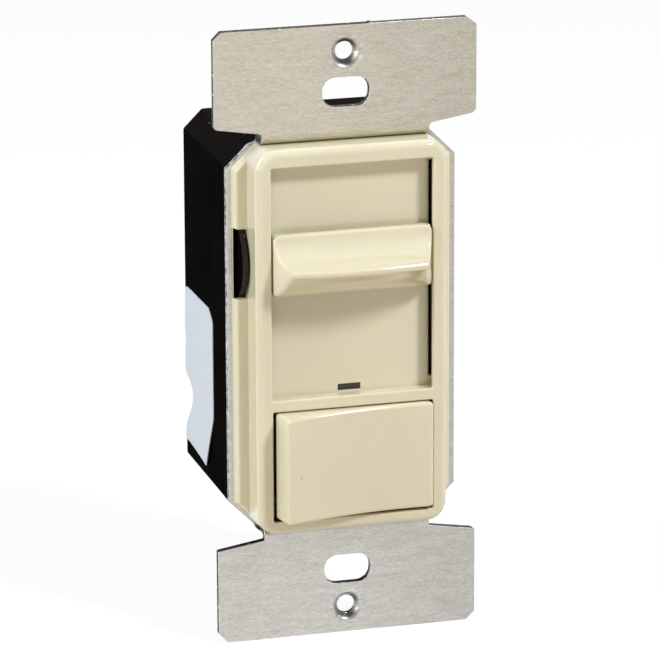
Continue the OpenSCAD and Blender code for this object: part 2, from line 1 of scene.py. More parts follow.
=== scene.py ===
from math import copysign, cos, pi, radians, sin, sqrt, tan, tau

import bmesh
import bpy
from mathutils import Matrix, Vector


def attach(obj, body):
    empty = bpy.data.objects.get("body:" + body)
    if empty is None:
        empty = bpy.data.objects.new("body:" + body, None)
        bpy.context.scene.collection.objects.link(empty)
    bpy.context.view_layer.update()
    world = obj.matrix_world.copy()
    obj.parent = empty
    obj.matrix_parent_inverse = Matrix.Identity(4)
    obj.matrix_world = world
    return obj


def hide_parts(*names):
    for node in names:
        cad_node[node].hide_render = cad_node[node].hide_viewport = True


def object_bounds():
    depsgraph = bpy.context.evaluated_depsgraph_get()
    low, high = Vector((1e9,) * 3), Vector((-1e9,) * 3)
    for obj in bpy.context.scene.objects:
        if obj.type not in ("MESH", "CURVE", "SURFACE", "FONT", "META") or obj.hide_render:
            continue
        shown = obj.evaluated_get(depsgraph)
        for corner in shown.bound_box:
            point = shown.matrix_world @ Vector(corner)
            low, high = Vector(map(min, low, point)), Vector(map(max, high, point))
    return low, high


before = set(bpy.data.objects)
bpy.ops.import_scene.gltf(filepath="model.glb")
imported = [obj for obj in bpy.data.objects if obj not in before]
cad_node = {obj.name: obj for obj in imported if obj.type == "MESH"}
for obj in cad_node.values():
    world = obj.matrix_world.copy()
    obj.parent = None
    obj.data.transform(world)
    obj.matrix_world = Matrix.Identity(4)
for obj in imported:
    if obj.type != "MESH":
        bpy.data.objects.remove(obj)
cad_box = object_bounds()


# Mounting strap: one blank of 1.2 mm aluminium sheet, pierced for its box slots and tapped holes and
# joggled twice, so that its plate sits behind the face and its two ears lie against the wall.
# The sheet is brushed along its width by the mill, and its sheared edges are left bare; their near-black
# colour with bright flecks is painted shade with painted glints, and the plate's edges are painted
# reflections.
mm = 0.001
weld = 1e-8
half_sheet = 0.6
plate_middle, ear_middle = 2.5, -0.6
plate_bend, ear_bend = 0.6, 0.95
bend_start = 33.32
bend_end = bend_start + plate_bend + ear_bend
plate_arc, ear_arc = plate_bend * pi / 2, ear_bend * pi / 2
bend_rise = plate_middle - ear_middle - plate_bend - ear_bend
ear_shift = bend_start + plate_arc + ear_arc + bend_rise - bend_end
edge_roll = 0.16


def inset(corners, depth):
    """Moves every edge of an anticlockwise outline inwards, or out where depth is negative."""
    moved = []
    for i, corner in enumerate(corners):
        here = Vector(corner)
        a = (here - Vector(corners[i - 1])).normalized()
        b = (Vector(corners[(i + 1) % len(corners)]) - here).normalized()
        in_a = Vector((-a.y, a.x))
        in_b = Vector((-b.y, b.x))
        moved.append(here + (in_a + in_b) * (depth / (1 + in_a.dot(in_b))))
    return moved


def eased(corners, radii, steps=4):
    """A closed outline with each corner eased to its own radius; 0 leaves it sharp."""
    points = []
    for i, radius in enumerate(radii):
        here = Vector(corners[i])
        if radius == 0:
            points.append(here)
            continue
        a = (Vector(corners[i - 1]) - here).normalized()
        b = (Vector(corners[(i + 1) % len(corners)]) - here).normalized()
        half = a.angle(b) / 2
        centre = here + (a + b).normalized() * (radius / sin(half))
        start = here + a * (radius / tan(half)) - centre
        end = here + b * (radius / tan(half)) - centre
        for k in range(steps + 1):
            points.append(centre + start.lerp(end, k / steps).normalized() * radius)
    return points


def disc(x, z, radius, count=32):
    """The points of a circle, anticlockwise."""
    turns = [tau * k / count for k in range(count)]
    return [Vector((x + radius * cos(a), z + radius * sin(a))) for a in turns]


def rectangle(x0, z0, x1, z1):
    return [(x0, z0), (x1, z0), (x1, z1), (x0, z1)]


def from_front(u, v, level):
    return Vector((u, level, v)) * mm


def from_below(u, v, level):
    return Vector((u, v, level)) * mm


def ring(bm, outline, level, facing=from_front):
    return [bm.verts.new(facing(p[0], p[1], level)) for p in outline]


def skin(bm, rings, finish=0):
    """Joins each ring of points to the next by a band of faces."""
    for a, b in zip(rings, rings[1:]):
        for i in range(len(a)):
            face = bm.faces.new((a[i - 1], a[i], b[i], b[i - 1]))
            face.material_index = finish


def flat(bm, rings, normal=(0, 1, 0)):
    """Fills the flat sheet inside the first ring, leaving the other rings open as holes."""
    edges = []
    for points in rings:
        for i, point in enumerate(points):
            pair = (points[i - 1], point)
            edges.append(bm.edges.get(pair) or bm.edges.new(pair))
    bmesh.ops.triangle_fill(bm, use_beauty=True, edges=edges, normal=normal)


def quarter(steps):
    """The angles of a quarter turn in even steps."""
    return [pi / 2 * k / steps for k in range(steps + 1)]


def rolled_edge(bm, outline_at, front, back, roll, finish=0, cut_finish=0, facing=from_front, steps=4):
    """An edge rolled over at its front and straight to its back; gives its front and back rings."""
    way = copysign(1, back - front)
    rings = [ring(bm, outline_at(1.3 * roll), front, facing)]
    for turn in quarter(steps):
        level = front + way * roll * (1 - cos(turn))
        rings.append(ring(bm, outline_at(roll * (1 - sin(turn))), level, facing))
    rings.append(ring(bm, outline_at(0), back, facing))
    skin(bm, rings[:-1], finish)
    skin(bm, rings[-2:], cut_finish)
    return rings[0], rings[-1]


def pierced(bm, outlines, *edge):
    """The rolled edges of a sheet and of its holes; gives their front rings and their back rings."""
    fronts, backs = zip(*[rolled_edge(bm, outline_at, *edge) for outline_at in outlines])
    return [*fronts], [*backs]


def capped(bm, low, high):
    """Fills the flat lower and upper ends of a piece."""
    flat(bm, low, normal=(0, 0, -1))
    flat(bm, high, normal=(0, 0, 1))


def creased(bm, axis, level):
    """Cuts every face where it crosses this level along an axis, 0 to 2."""
    along = Vector((0, 0, 0))
    along[axis] = 1
    bmesh.ops.bisect_plane(bm, geom=[*bm.verts, *bm.edges, *bm.faces], dist=weld,
                           plane_co=along * (level * mm), plane_no=along)


def linked(name, data):
    """An object in the scene, made of this mesh, lamp or camera."""
    piece = bpy.data.objects.new(name, data)
    bpy.context.scene.collection.objects.link(piece)
    return piece


def smoothed(mesh, sharp):
    """Shades a mesh smooth, but for the edges that turn by more than this many degrees."""
    mesh.polygons.foreach_set("use_smooth", [True] * len(mesh.polygons))
    mesh.set_sharp_from_angle(angle=radians(sharp))


def made_piece(bm, name, finishes, sharp=35):
    """Turns the mesh in hand into an object with its finishes."""
    bmesh.ops.remove_doubles(bm, verts=bm.verts, dist=weld)
    bmesh.ops.recalc_face_normals(bm, faces=bm.faces)
    mesh = bpy.data.meshes.new(name)
    bm.to_mesh(mesh)
    bm.free()
    for finish in finishes:
        mesh.materials.append(finish)
    smoothed(mesh, sharp)
    return linked(name, mesh)


def fitted(piece, body, slot, *stands_for):
    """Fixes a piece to the body it moves with and hides the solids it stands for; its material slot is not
    used.
    """
    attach(piece, body)
    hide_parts(*stands_for)


def joggled(x, t, s):
    """Where a point of the flat blank goes when the blank is bent; t is its depth from mid-sheet."""
    run = abs(s) - bend_start
    if run <= 0:
        return Vector((x, plate_middle + t, s))
    if run <= plate_arc + bend_rise:
        r = plate_bend
        a = min(run, plate_arc) / r
        y = plate_middle - r + (r + t) * cos(a) - max(run - plate_arc, 0)
        z = bend_start + (r + t) * sin(a)
    elif run <= plate_arc + bend_rise + ear_arc:
        r = ear_bend
        a = pi / 2 - (run - plate_arc - bend_rise) / r
        y = ear_middle + r - (r - t) * cos(a)
        z = bend_end - (r - t) * sin(a)
    else:
        y = ear_middle + t
        z = abs(s) - ear_shift
    return Vector((x, y, copysign(z, s)))


def node(tree, kind, inputs=(), family="Shader", **settings):
    """Adds a node of a kind; an input is a value, a socket, or a node for its first output."""
    made = tree.nodes.new(f"{family}Node{kind}")
    for name, value in settings.items():
        setattr(made, name, value)
    for name, value in dict(inputs).items():
        if isinstance(value, bpy.types.Node):
            value = value.outputs[0]
        if isinstance(value, bpy.types.NodeSocket):
            tree.links.new(value, made.inputs[name])
        else:
            made.inputs[name].default_value = value
    return made


def group_tree(name, tree_kind, inputs, outputs):
    """An empty node group with its named sockets, its input node and its output node."""
    tree = bpy.data.node_groups.new(name, tree_kind)
    for socket, kind, value in inputs:
        made = tree.interface.new_socket(name=socket, in_out="INPUT", socket_type="NodeSocket" + kind)
        if value is not None:
            made.default_value = value
    for socket, kind in outputs:
        tree.interface.new_socket(name=socket, in_out="OUTPUT", socket_type="NodeSocket" + kind)
    return tree, tree.nodes.new("NodeGroupInput").outputs, tree.nodes.new("NodeGroupOutput").inputs


def feed(tree, sockets, **values):
    """Links values to the named sockets of a shader or of a group's output."""
    for name, value in values.items():
        tree.links.new(value, sockets[name.replace("_", " ")])


def ranged(tree, value, low, high, to_low, to_high):
    """A value taken from one range to another and held within it."""
    made = node(tree, "MapRange", {
        "Value": value, "From Min": low, "From Max": high, "To Min": to_low, "To Max": to_high})
    return made.outputs["Result"]


def worked(tree, operation, a, b):
    return node(tree, "Math", {0: a, 1: b}, operation=operation).outputs[0]


def blended(tree, share, a, b, way="MIX"):
    made = node(tree, "Mix", {0: share, 6: a, 7: b}, data_type="RGBA", blend_type=way)
    return made.outputs[2]


def in_place(tree):
    """Where a point lies, in the piece's own coordinates."""
    return node(tree, "TexCoord").outputs["Object"]


def noise(tree, place, scale, detail):
    made = node(tree, "TexNoise", {"Vector": place, "Scale": scale, "Detail": detail})
    return made.outputs["Fac"]


def paint(red, green, blue):
    """A colour written as it looks on a screen, 0 to 255, turned into light."""
    light = []
    for level in (red, green, blue):
        c = level / 255
        light.append(c / 12.92 if c <= 0.04045 else ((c + 0.055) / 1.055) ** 2.4)
    return (*light, 1.0)


def brushed_grain():
    """Fine scratches: noise drawn out by Stretch, in scratches per metre on each axis."""
    tree, given, out = group_tree(
        "brushed_grain", "ShaderNodeTree",
        [("Stretch", "Vector", (100, 5000, 5000))],
        [("Tone", "Float"), ("Height", "Float")])
    drawn = node(tree, "VectorMath", {0: in_place(tree), 1: given["Stretch"]}, operation="MULTIPLY")
    fine = noise(tree, drawn, 1.0, 5.0)
    broad = noise(tree, drawn, 0.17, 2.0)
    both = worked(tree, "ADD", fine, worked(tree, "MULTIPLY", broad, 0.4))
    feed(tree, out, Tone=ranged(tree, both, 0.5, 0.9, 0.0, 1.0), Height=fine)
    return tree


def settled_specks():
    """Small scattered specks: Share is the part of the cells that holds one, Size its radius."""
    tree, given, out = group_tree(
        "settled_specks", "ShaderNodeTree",
        [("Cells", "Float", 600.0), ("Share", "Float", 0.05), ("Size", "Float", 0.12)],
        [("Mask", "Float")])
    cells = node(tree, "TexVoronoi", {"Vector": in_place(tree), "Scale": given["Cells"]}).outputs
    drawn = node(tree, "SeparateColor", {"Color": cells["Color"]})
    chosen = worked(tree, "LESS_THAN", drawn.outputs["Red"], given["Share"])
    near = worked(tree, "LESS_THAN", cells["Distance"], given["Size"])
    feed(tree, out, Mask=worked(tree, "MULTIPLY", chosen, near))
    return tree


grain_group = brushed_grain()
speck_group = settled_specks()


def new_finish(name, **settings):
    """A material and its shader; plain settings go straight on the shader's sockets."""
    finish = bpy.data.materials.new(name)
    finish.use_nodes = True
    shader = finish.node_tree.nodes["Principled BSDF"]
    for socket, value in settings.items():
        shader.inputs[socket.replace("_", " ")].default_value = value
    return finish, finish.node_tree, shader.inputs


def raised(tree, height, strength, depth):
    """The normal of a surface with this height on it, depth in millimetres."""
    made = node(tree, "Bump", {"Height": height, "Strength": strength, "Distance": depth * mm})
    return made.outputs["Normal"]


def specked(tree, clean, speck, cells, share, size):
    """A colour with specks of another scattered on it."""
    specks = node(tree, "Group", {"Cells": cells, "Share": share, "Size": size}, node_tree=speck_group)
    return blended(tree, specks, clean, paint(*speck))


def upward(tree, low, high, most):
    """A share that grows to most where the surface turns upwards."""
    facing = node(tree, "NewGeometry").outputs["Normal"]
    tilt = node(tree, "SeparateXYZ", {"Vector": facing}).outputs["Z"]
    return ranged(tree, tilt, low, high, 0.0, most)


def brushed_metal(name, bright, dull, gloss, matt, stretch, speck, speck_share, axis_tints=(), upper=None):
    """Bare metal: brushed grain in its colour, gloss and height, with pits or flecks scattered on it.
    Tints along an axis multiply its colour, and upper is a painted shade on its upward sides."""
    finish, tree, shader = new_finish(name, Metallic=1.0)
    grain = node(tree, "Group", {"Stretch": stretch}, node_tree=grain_group).outputs
    colour = blended(tree, grain["Tone"], paint(*dull), paint(*bright))
    for axis, low, high, tint in axis_tints:
        along = node(tree, "SeparateXYZ", {"Vector": in_place(tree)}).outputs[axis]
        colour = blended(tree, ranged(tree, along, low, high, 0.0, 1.0), colour, tint, "MULTIPLY")
    if upper:
        colour = blended(tree, upward(tree, 0.1, 0.7, 1.0), colour, paint(*upper))
    feed(tree, shader, Base_Color=specked(tree, colour, speck, 1500.0, speck_share, 0.3),
         Roughness=ranged(tree, grain["Tone"], 0.0, 1.0, matt, gloss),
         Normal=raised(tree, grain["Height"], 0.35, 0.03))
    return finish


# Painted shade: the strap darkens towards its right side. It is also tinted warmer towards its top.
strap_shade_and_tint = [("X", -0.004, 0.02, (0.86, 0.86, 0.86, 1.0)),
                 ("Z", -0.04, 0.04, (1.0, 0.955, 0.865, 1.0))]
strap_face = brushed_metal(
    "strap_face", (206, 203, 195), (179, 176, 167), 0.34, 0.46, (1300, 7000, 7000), (189, 186, 177),
    0.5, strap_shade_and_tint)
# Painted shade: the rolled edges and the tapped holes' lead-ins are painted darker where they face
# upwards.
strap_roll = brushed_metal(
    "strap_rolled_edge", (212, 211, 206), (172, 170, 165), 0.26, 0.4, (900, 3200, 3200),
    (220, 217, 210), 0.1, strap_shade_and_tint, (84, 82, 80))
# Painted shade: the sheared edges are near-black metal, with bright flecks as painted glints.
strap_cut = brushed_metal(
    "strap_cut_edge", (66, 66, 68), (8, 8, 9), 0.28, 0.55, (1300, 1300, 1300), (236, 238, 242), 0.08)
# Painted reflection: the plate's sheared edges are broken bright and near-black metal, standing for bright
# and dark reflections.
strap_bright_cut = brushed_metal(
    "strap_plate_edge", (224, 228, 236), (24, 24, 26), 0.28, 0.5, (1300, 1300, 1000), (16, 16, 18), 0.3)
# Painted shade: a dark brown metal for the bends behind the face, where they lie in shade.
strap_bend_shade = brushed_metal(
    "strap_bend_painted_shade", (40, 35, 28), (16, 13, 10), 0.4, 0.6, (900, 3200, 3200), (60, 54, 44), 0.1)
strap_finishes = [strap_face, strap_cut, strap_roll, strap_bend_shade, strap_bright_cut]
cut_edge, rolled, bend_painted_shade, bright_edge = 1, 2, 3, 4

nib = [(4.6, 53.05), (4.4, 53.19), (4.0, 53.19), (3.8, 53.05)]
bent = [(19.85, -29), (19.85, 29), (14.5, 34.35), (14.5, 35.3), (22.65, 36.6),
        (22.65, 51.63), (20.85, 53.05), *nib, (-21.3, 53.05), (-22.65, 51.7), (-22.65, 36.6),
        (-14.5, 35.3), (-14.5, 33.3), (-15.9, 32.9), (-19.85, 29), (-19.85, -29), (-14.5, -34.35),
        (-14.5, -35.3), (-22.65, -36.6), (-22.65, -51.3), (-21.0, -53.05),
        (21.1, -53.05), (22.65, -51.6), (22.65, -36.6), (14.5, -35.3), (14.5, -34.35)]
blank = [(x, z + copysign(ear_shift, z) if abs(z) > bend_end else z) for x, z in bent]
round_corners = {(22.65, 36.6): 1.0, (-22.65, 36.6): 0.8, (14.5, 35.3): 0.7, (-14.5, 35.3): 0.5,
                 (22.65, -36.6): 0.6, (-22.65, -36.6): 0.3}
blank_radii = [0 if corner in nib else round_corners.get(corner, 0.25) for corner in bent]


def outlined(corners, radii, steps=4):
    """An eased outline as a function of how deep it is drawn in."""
    return lambda depth: eased(inset(corners, depth), radii, steps)


def hole_at(x0, z0, x1, z1, radius):
    """The outline of a pierced hole, grown by depth into the sheet round it."""
    corners = rectangle(x0, z0, x1, z1)
    return lambda depth: eased(inset(corners, -depth), [radius + depth] * 4)


def bore_at(x, z, radius):
    return lambda depth: disc(x, z, radius + depth)


slot_z, slot_x, slot_half, slot_end = 41.67 + ear_shift, 4.05, 2.5, 2.2
tapped_z = 48.42 + ear_shift
screw_x, screw_z = 12.5, 29.3
peg_x, peg_z = 17.0, 25.5
lever_slot = hole_at(-3.2, -10.6, 3.2, 28.8, 0.3)
fork_slot = hole_at(-5, -27, 5, -15, 0.3)
wheel_cut = hole_at(-18.9, 5.7, -16.5, 20.1, 0.2)
rivet_hole = bore_at(11.1, 16.9, 1.55)
strap_holes = [lever_slot, fork_slot, wheel_cut, rivet_hole]
for side in (-1, 1):
    foot, top = side * slot_z - slot_half, side * slot_z + slot_half
    strap_holes.append(hole_at(-slot_x, foot, slot_x, top, slot_end))
    for high in (-1, 1):
        strap_holes.append(bore_at(side * screw_x, high * screw_z, 1.45))
        strap_holes.append(bore_at(side * peg_x, high * peg_z, 1.15))
bm = bmesh.new()
outlines = [outlined(blank, blank_radii), *strap_holes]
fronts, backs = pierced(bm, outlines, -half_sheet, half_sheet, edge_roll, rolled, cut_edge)
lead_in = [(3.3, -0.6), (2.95, -0.6), (2.72, -0.56), (2.45, -0.44), (2.18, -0.22), (1.9, 0.1),
           (1.7, 0.36)]
thread = [(1.56 + 0.08 * (k % 2), 0.5 + 0.15 * k) for k in range(6)]
boss = [(1.72, 1.4), (2.12, 1.4), (2.32, 1.28), (2.32, 0.8), (2.5, 0.6), (2.9, 0.6)]
for side in (-1, 1):
    rings = [ring(bm, disc(0, side * tapped_z, r), t) for r, t in lead_in + thread + boss]
    skin(bm, rings, rolled)
    fronts.append(rings[0])
    backs.append(rings[-1])
flat(bm, fronts)
flat(bm, backs)
bend_steps = 6
for side in (-1, 1):
    for k in range(bend_steps + 1):
        for start, arc in ((bend_start, plate_arc), (bend_start + plate_arc + bend_rise, ear_arc)):
            creased(bm, 2, side * (start + arc * k / bend_steps))
for vert in bm.verts:
    vert.co = joggled(*(vert.co / mm)) * mm
neck_z, neck_front, plate_end = 33.2, 0.2, 33.4
# Painted shade: the bends' faces behind the plate front take the dark finish; the plate's sheared edges
# take the plate edge finish.
for face in bm.faces:
    middle = face.calc_center_median() / mm
    if abs(middle.z) > neck_z and middle.y > neck_front and face.material_index == 0:
        face.material_index = bend_painted_shade
    if abs(middle.z) < plate_end and face.material_index == cut_edge:
        face.material_index = bright_edge
tab_low, tab_high, tab_roll = -33.4, -32.5, 0.15
ground_x, ground_y = 5.0, 9.0
tab_hole = bore_at(ground_x, ground_y, 1.75)
tab_at = outlined(rectangle(2, 2.2, 8, 13), [0.1, 0.1, 1.2, 1.2])
capped(bm, *pierced(bm, [tab_at, tab_hole], tab_low, tab_high, tab_roll, rolled, cut_edge, from_below))
fitted(made_piece(bm, "strap", strap_finishes), "base", "strap_metal", "mounting_strap")


# Rear housing and the frame in front of it: two black mouldings that close round the works, held to the
# strap by four long screws. They have a polished skin that shows dust, and a seam where they meet.
housing_ease, fine_ease = 0.35, 0.12
dust_tone = paint(120, 108, 100)


def moulded_skin():
    """A moulding's skin: slow mottle in its colour, uneven polish and a very fine peel in its surface."""
    tree, given, out = group_tree(
        "moulded_skin", "ShaderNodeTree",
        [("Colour", "Color", (0.5, 0.5, 0.5, 1)), ("Shade", "Color", (0.4, 0.4, 0.4, 1)),
         ("Mottle", "Float", 90.0), ("Peel", "Float", 1400.0), ("Gloss", "Float", 0.25),
         ("Matt", "Float", 0.35)],
        [("Colour", "Color"), ("Roughness", "Float"), ("Height", "Float")])
    place = in_place(tree)
    share = ranged(tree, noise(tree, place, given["Mottle"], 3.0), 0.35, 0.65, 0.0, 1.0)
    worn = noise(tree, place, 320.0, 4.0)
    feed(tree, out, Colour=blended(tree, share, given["Shade"], given["Colour"]),
         Roughness=ranged(tree, worn, 0.3, 0.7, given["Gloss"], given["Matt"]),
         Height=noise(tree, place, given["Peel"], 2.0))
    return tree


skin_group = moulded_skin()


def moulding(name, colour, shade, gloss, matt, speck, speck_share, peel=0.01, dust=0.0, **settings):
    """Moulded plastic: the skin's colour, polish and peel, specks on it and dust on its upper sides."""
    finish, tree, shader = new_finish(name, **settings)
    given = {"Colour": paint(*colour), "Shade": paint(*shade), "Gloss": gloss, "Matt": matt}
    made = node(tree, "Group", given, node_tree=skin_group).outputs
    clean = made["Colour"]
    if dust:
        clean = blended(tree, upward(tree, 0.2, 1.0, dust), clean, dust_tone)
    feed(tree, shader, Base_Color=specked(tree, clean, speck, 700.0, speck_share, 0.1),
         Roughness=made["Roughness"], Normal=raised(tree, made["Height"], 0.2, peel))
    return finish


housing_black = moulding(
    "housing_black", (11, 10, 9), (6, 5, 4), 0.3, 0.4, (150, 150, 150), 0.03, dust=0.06,
    Specular_IOR_Level=0.0, Coat_Weight=0.008, Coat_Roughness=0.12)


def plain(piece):
    """Applies a piece's modifiers, so that what is left is a plain mesh."""
    drawn = piece.evaluated_get(bpy.context.evaluated_depsgraph_get())
    mesh = bpy.data.meshes.new_from_object(drawn)
    mesh.name = piece.name
    piece.modifiers.clear()
    piece.data = mesh
    return piece


def softened(name, source, finish, ease, slot, split=False):
    """A copy of a fixed solid with its loose triangles joined and every sharp edge eased over.
    A piece with windows through its faces is split into triangles again, so that they stay open."""
    sharp = 40
    bm = bmesh.new()
    bm.from_mesh(cad_node[source].data)
    bmesh.ops.remove_doubles(bm, verts=bm.verts, dist=1e-6)
    bmesh.ops.dissolve_limit(bm, angle_limit=radians(1), verts=bm.verts, edges=bm.edges)
    if split:
        bmesh.ops.triangulate(bm, faces=bm.faces)
    piece = made_piece(bm, name, [finish], sharp)
    bevel = piece.modifiers.new("eased_edges", "BEVEL")
    bevel.width = ease * mm
    bevel.segments = 3
    bevel.limit_method = "ANGLE"
    bevel.angle_limit = radians(sharp)
    bevel.use_clamp_overlap = False
    bevel.harden_normals = True
    fitted(plain(piece), "base", slot, source)


softened("housing", "rear_housing", housing_black, housing_ease, "black_plastic")
softened("housing_front_frame", "housing_frame", housing_black, fine_ease, "black_plastic", split=True)


# Housing screws, terminal screws and the ground screw: turned and slotted. The four housing screws are
# plated steel, the three terminal screws brass, and the ground screw has a green hexagon head.
def shape(tree, kind, inputs=(), **settings):
    """Adds a geometry node."""
    return node(tree, kind, inputs, "Geometry", **settings)


def cone(tree, sides, low, high, depth):
    """A cone or a drum that stands on the origin."""
    return shape(tree, "MeshCone", {
        "Vertices": sides, "Radius Bottom": low, "Radius Top": high, "Depth": depth})


def lifted(tree, geometry, height):
    place = node(tree, "CombineXYZ", {"Z": height})
    return shape(tree, "Transform", {"Geometry": geometry, "Translation": place})


def joined(tree, *parts):
    whole = shape(tree, "JoinGeometry")
    for part in parts:
        tree.links.new(part.outputs[0], whole.inputs[0])
    return whole


def slotted_screw():
    """A screw on each point of the mesh in hand, its head along the point's own facing direction."""
    tree, given, out = group_tree(
        "slotted_screw", "GeometryNodeTree",
        [("Geometry", "Geometry", None), ("Head Sides", "Int", 32), ("Head Radius", "Float", 0.0026),
         ("Head Height", "Float", 0.0016), ("Head Ease", "Float", 0.0004), ("Slot Width", "Float", 0.0008),
         ("Slot Depth", "Float", 0.0008), ("Shank Radius", "Float", 0.0014),
         ("Shank Length", "Float", 0.02), ("Finish", "Material", None)],
        [("Geometry", "Geometry")])
    sides, radius = given["Head Sides"], given["Head Radius"]
    ease, height = given["Head Ease"], given["Head Height"]
    drum_height = worked(tree, "SUBTRACT", height, ease)
    top_radius = worked(tree, "SUBTRACT", radius, ease)
    drum = cone(tree, sides, radius, radius, drum_height)
    brow = lifted(tree, cone(tree, sides, radius, top_radius, ease), drum_height)
    head = shape(tree, "MergeByDistance", {"Geometry": joined(tree, drum, brow), "Distance": 1e-6})
    slot_length = worked(tree, "MULTIPLY", radius, 3.0)
    slot_height = worked(tree, "MULTIPLY", given["Slot Depth"], 2.0)
    slot_size = node(tree, "CombineXYZ", {"X": slot_length, "Y": given["Slot Width"], "Z": slot_height})
    slot = lifted(tree, shape(tree, "MeshCube", {"Size": slot_size}), height)
    cut = shape(tree, "MeshBoolean", {"Mesh 1": head, "Mesh 2": slot}, operation="DIFFERENCE",
                solver="EXACT")
    shank = cone(tree, 24, given["Shank Radius"], given["Shank Radius"], given["Shank Length"])
    down = worked(tree, "MULTIPLY", given["Shank Length"], -1.0)
    screw = joined(tree, cut, lifted(tree, shank, down))
    facing = shape(tree, "InputNamedAttribute", {"Name": "facing"}, data_type="FLOAT_VECTOR")
    turned = node(tree, "AlignRotationToVector", {"Vector": facing}, "Function", axis="Z")
    placed = shape(tree, "InstanceOnPoints", {
        "Points": given["Geometry"], "Instance": screw, "Rotation": turned})
    real = shape(tree, "RealizeInstances", {"Geometry": placed})
    done = shape(tree, "SetMaterial", {"Geometry": real, "Material": given["Finish"]})
    feed(tree, out, Geometry=done.outputs[0])
    return tree


def set_inputs(piece, tree, values):
    """Puts a node tree on a piece with its named inputs set, and makes the result a plain mesh."""
    modifier = piece.modifiers.new(tree.name, "NODES")
    modifier.node_group = tree
    for item in tree.interface.items_tree:
        if item.in_out == "INPUT" and item.name in values:
            modifier[item.identifier] = values[item.name]
    return plain(piece)


screw_tree = slotted_screw()


def screws(name, source, seats, finish, slot, sides=32, **sizes):
    """Screws of one kind, sized in millimetres; a seat is a place and the direction its head faces."""
    mesh = bpy.data.meshes.new(name)
    mesh.from_pydata([Vector(place) * mm for place, facing in seats], [], [])
    directions = mesh.attributes.new("facing", "FLOAT_VECTOR", "POINT")
    directions.data.foreach_set("vector", [c for place, facing in seats for c in facing])
    piece = linked(name, mesh)
    values = {key.replace("_", " "): size * mm for key, size in sizes.items()}
    set_inputs(piece, screw_tree, {**values, "Head Sides": sides, "Finish": finish})
    smoothed(piece.data, 30)
    fitted(piece, "base", slot, source)


screw_steel = brushed_metal(
    "screw_steel", (200, 200, 202), (140, 140, 144), 0.22, 0.4, (2500, 2500, 2500), (110, 108, 104), 0.06)
brass = brushed_metal(
    "terminal_brass", (214, 176, 96), (168, 128, 60), 0.25, 0.42, (1800, 1800, 300), (120, 92, 44), 0.08)
ground_green = moulding(
    "ground_green", (34, 120, 58), (24, 92, 44), 0.2, 0.34, (16, 50, 26), 0.06, Metallic=0.5)
housing_seats = [((x, 29.5, z), (0, 1, 0)) for x in (-screw_x, screw_x) for z in (-screw_z, screw_z)]
screws("case_screws", "housing_screws", housing_seats, screw_steel, "steel_case", Head_Radius=2.6,
       Head_Height=1.6, Slot_Width=0.8, Slot_Depth=0.8, Shank_Radius=1.4, Shank_Length=27.5)
terminal_seats = [((16.3, 25.2, -19), (1, 0, 0)), ((16.3, 25.2, 1), (1, 0, 0)),
                  ((-16.3, 25.2, -19), (-1, 0, 0))]
screws("wire_screws", "terminal_screws", terminal_seats, brass, "brass_metal", Head_Radius=3.4,
       Head_Height=2.2, Slot_Width=1.0, Slot_Depth=1.0, Shank_Radius=1.7, Shank_Length=4.8)
ground_seat = ((ground_x, ground_y, tab_low), (0, 0, -1))
screws("earth_screw", "ground_screw", [ground_seat], ground_green, "green_paint", 6, Head_Radius=3.5,
       Head_Height=2.4, Slot_Width=0.9, Slot_Depth=1.1, Shank_Radius=1.7, Shank_Length=4.0)


# Contact strips: three brass strips pressed into the wiring pockets, each with a blade down to the board
# and a tapped hole for its terminal screw. Their sheared edges are eased.
for source in ("traveller_terminal", "line_terminal", "load_terminal"):
    softened(source.replace("terminal", "strip"), source, brass, fine_ease, "brass_metal")


# Terminal label: a die-cut paper sticker on the housing's left side, over the left wiring pocket. It is
# bare here, pressed in a little where the pocket is hollow behind it, and its lower front edge lifts.
label_front, label_foot = 11.7, -27.0
label_outline = [(30.8, -26.1), (30.8, 1.5), (14.4, 1.75), (label_front, 0.0), (label_front, -17.2),
                 (16.4, -26.9), (17.4, label_foot)]
label_radii = [0.2, 1.8, 1.2, 1.2, 2.0, 0.4, 0.3]
label_thick, label_gap, label_step = 0.14, 0.03, 0.72
housing_side = 19.82
pocket_z, pocket_half, pocket_sag = -18.8, 4.9, 1.3
pocket_rim, pocket_deep = 20.6, 29.6
edge_lift, ripple_height = 0.55, 0.05
lift_z, label_middle = -17.0, 20


def from_side(u, v, level):
    return Vector((level, u, v)) * mm


def eased_in(value, start, end):
    """0 up to start and 1 from end on, easing in and out between them."""
    t = min(max((value - start) / (end - start), 0), 1)
    return t * t * (3 - 2 * t)


def label_lie(y, z):
    """How far the sticker stands out from the housing's side: it sags over the open pocket."""
    hollow = max(0, 1 - ((z - pocket_z) / pocket_half) ** 2) ** 1.5
    dent = pocket_sag * eased_in(y, pocket_rim, pocket_deep) * hollow
    lift = max(0.0, (lift_z - z) / 10) * max(0.0, (label_middle - y) / 8)
    ripple = ripple_height * sin(0.9 * z + 0.4 * y) * max(0.0, (y - label_middle) / 10)
    return label_gap + edge_lift * lift ** 1.5 + ripple - dent


label_paper, tree, shader = new_finish("label_paper", Specular_IOR_Level=0.35)
fibre = noise(tree, in_place(tree), 900.0, 6.0)
feed(tree, shader, Base_Color=blended(tree, fibre, paint(190, 197, 203), paint(214, 220, 225)),
     Roughness=ranged(tree, fibre, 0.3, 0.7, 0.35, 0.5), Normal=raised(tree, fibre, 0.25, 0.01))
bm = bmesh.new()
rim = ring(bm, eased(label_outline, label_radii, 6), 0, from_side)
flat(bm, [rim], normal=(1, 0, 0))
for k in range(1, 40):
    creased(bm, 1, label_front + label_step * k)
    creased(bm, 2, label_foot + label_step * k)
bmesh.ops.solidify(bm, geom=[*bm.faces], thickness=label_thick * mm)
for vert in bm.verts:
    stand_off = housing_side + label_lie(vert.co.y / mm, vert.co.z / mm)
    vert.co.x = -stand_off * mm - abs(vert.co.x)
fitted(made_piece(bm, "sticker", [label_paper]), "base", "label_paper", "terminal_label")
